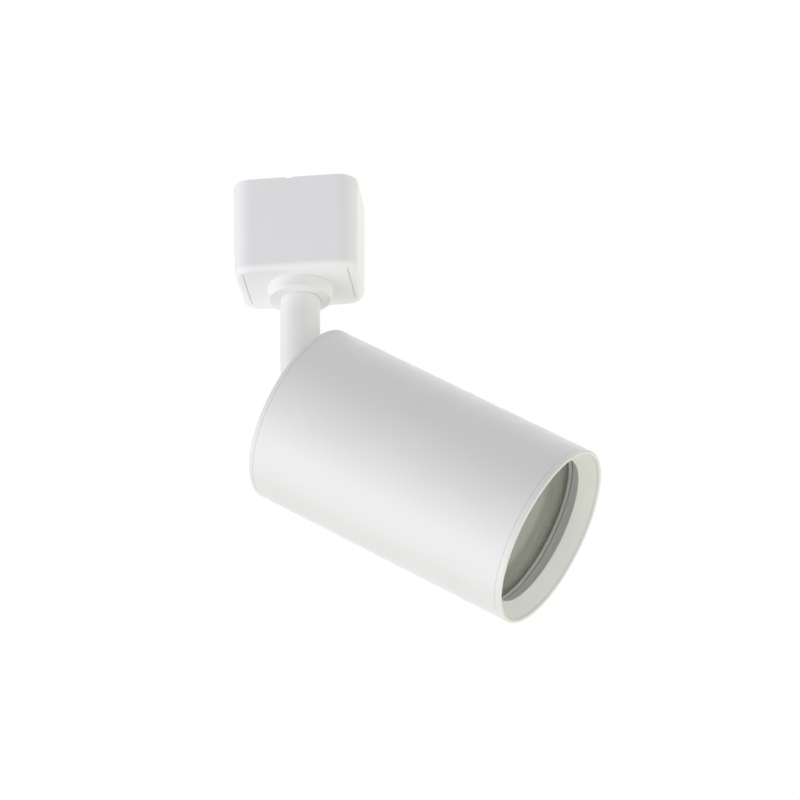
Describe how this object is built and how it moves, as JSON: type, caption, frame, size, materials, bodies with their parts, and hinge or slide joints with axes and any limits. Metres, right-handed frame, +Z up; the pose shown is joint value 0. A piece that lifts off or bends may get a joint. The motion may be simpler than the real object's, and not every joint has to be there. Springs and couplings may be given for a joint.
{
  "type": "track spotlight",
  "caption": "Cylindrical LED track spotlight: a box adapter with a twist-lock contact head, a swivelling stem and a head that tilts on a rear yoke.",
  "frame": {"origin": "centre of the adapter's seating face, where it meets the underside of the track", "axes": "+Z up into the track, +X along the track and the adapter's long side, -Y the front; the head points to +X and down at rest"},
  "size_m": [0.1246, 0.0728, 0.1714],
  "materials": {
    "white_plastic": "satin moulded white",
    "white_metal": "satin white powder coat",
    "cast_knuckle": "satin white powder coat on a casting",
    "dark_plastic": "matte dark grey moulded",
    "zinc_steel": "zinc plated",
    "spring_steel": "bright drawn wire",
    "contact_brass": "bright rolled strip",
    "nylon": "natural nylon",
    "silicone": "grey silicone",
    "lead_insulation": "extruded insulation",
    "clear_glass": "polished clear glass",
    "reflector_aluminium": "spun and anodised",
    "sink_aluminium": "as die cast",
    "thermal_silicone": "soft pad",
    "led_ceramic": "white ceramic",
    "phosphor": "yellow silicone and phosphor",
    "circuit_board": "green solder mask",
    "transformer_tape": "yellow tape",
    "capacitor_sleeve": "shrunk sleeve"
  },
  "bodies": {
    "adapter": {"adapter_shell": "white_plastic", "top_plate": "dark_plastic", "top_plate_screws": "zinc_steel", "bottom_plate": "white_plastic", "swivel_collar": "white_metal", "collar_nut": "zinc_steel", "swivel_friction_washer": "nylon", "swivel_stop_pin": "zinc_steel", "earth_contact": "contact_brass", "terminal_block": "dark_plastic", "brush_contacts": "contact_brass", "adapter_leads": "lead_insulation"},
    "turret": {"contact_turret": "dark_plastic", "line_contact": "contact_brass", "neutral_contact": "contact_brass", "lock_lever": "dark_plastic", "turret_retaining_clip": "zinc_steel"},
    "stem": {"stem_tube": "white_metal", "stem_knuckle": "cast_knuckle", "stem_locknut": "zinc_steel", "swivel_spring_washer": "zinc_steel", "swivel_stop_tab": "zinc_steel", "stem_wire_bush": "nylon", "stem_leads": "lead_insulation"},
    "head": {"barrel": "white_metal", "rear_cap": "white_metal", "tilt_yoke": "zinc_steel", "yoke_screws": "zinc_steel", "front_bezel": "white_metal", "cap_screws": "zinc_steel", "pivot_screw": "zinc_steel", "pivot_nut": "zinc_steel", "tilt_friction_washers": "nylon", "glass_lens": "clear_glass", "lens_gasket": "silicone", "lens_retaining_ring": "spring_steel", "reflector": "reflector_aluminium", "heat_sink": "sink_aluminium", "thermal_pad": "thermal_silicone", "led_board": "led_ceramic", "led_emitter": "phosphor", "led_holder": "dark_plastic", "holder_screws": "zinc_steel", "led_leads": "lead_insulation", "driver_cup": "dark_plastic", "driver_cover": "dark_plastic", "driver_board": "circuit_board", "driver_transformer": "transformer_tape", "driver_capacitors": "capacitor_sleeve", "wire_grommet": "silicone", "head_leads": "lead_insulation"}
  },
  "joints": [
    {"name": "contact_turn", "type": "hinge", "parent": "adapter", "child": "turret", "pos_m": [0, 0, 0], "axis": [0, 0, 1], "range_deg": [0, 90]},
    {"name": "swivel", "type": "hinge", "parent": "adapter", "child": "stem", "pos_m": [0, 0, -0.038], "axis": [0, 0, 1], "range_deg": [-170, 170]},
    {"name": "tilt", "type": "hinge", "parent": "stem", "child": "head", "pos_m": [0, 0, -0.0835], "axis": [0.1132, 0.9936, 0], "range_deg": [-32.9, 57.1]}
  ]
}
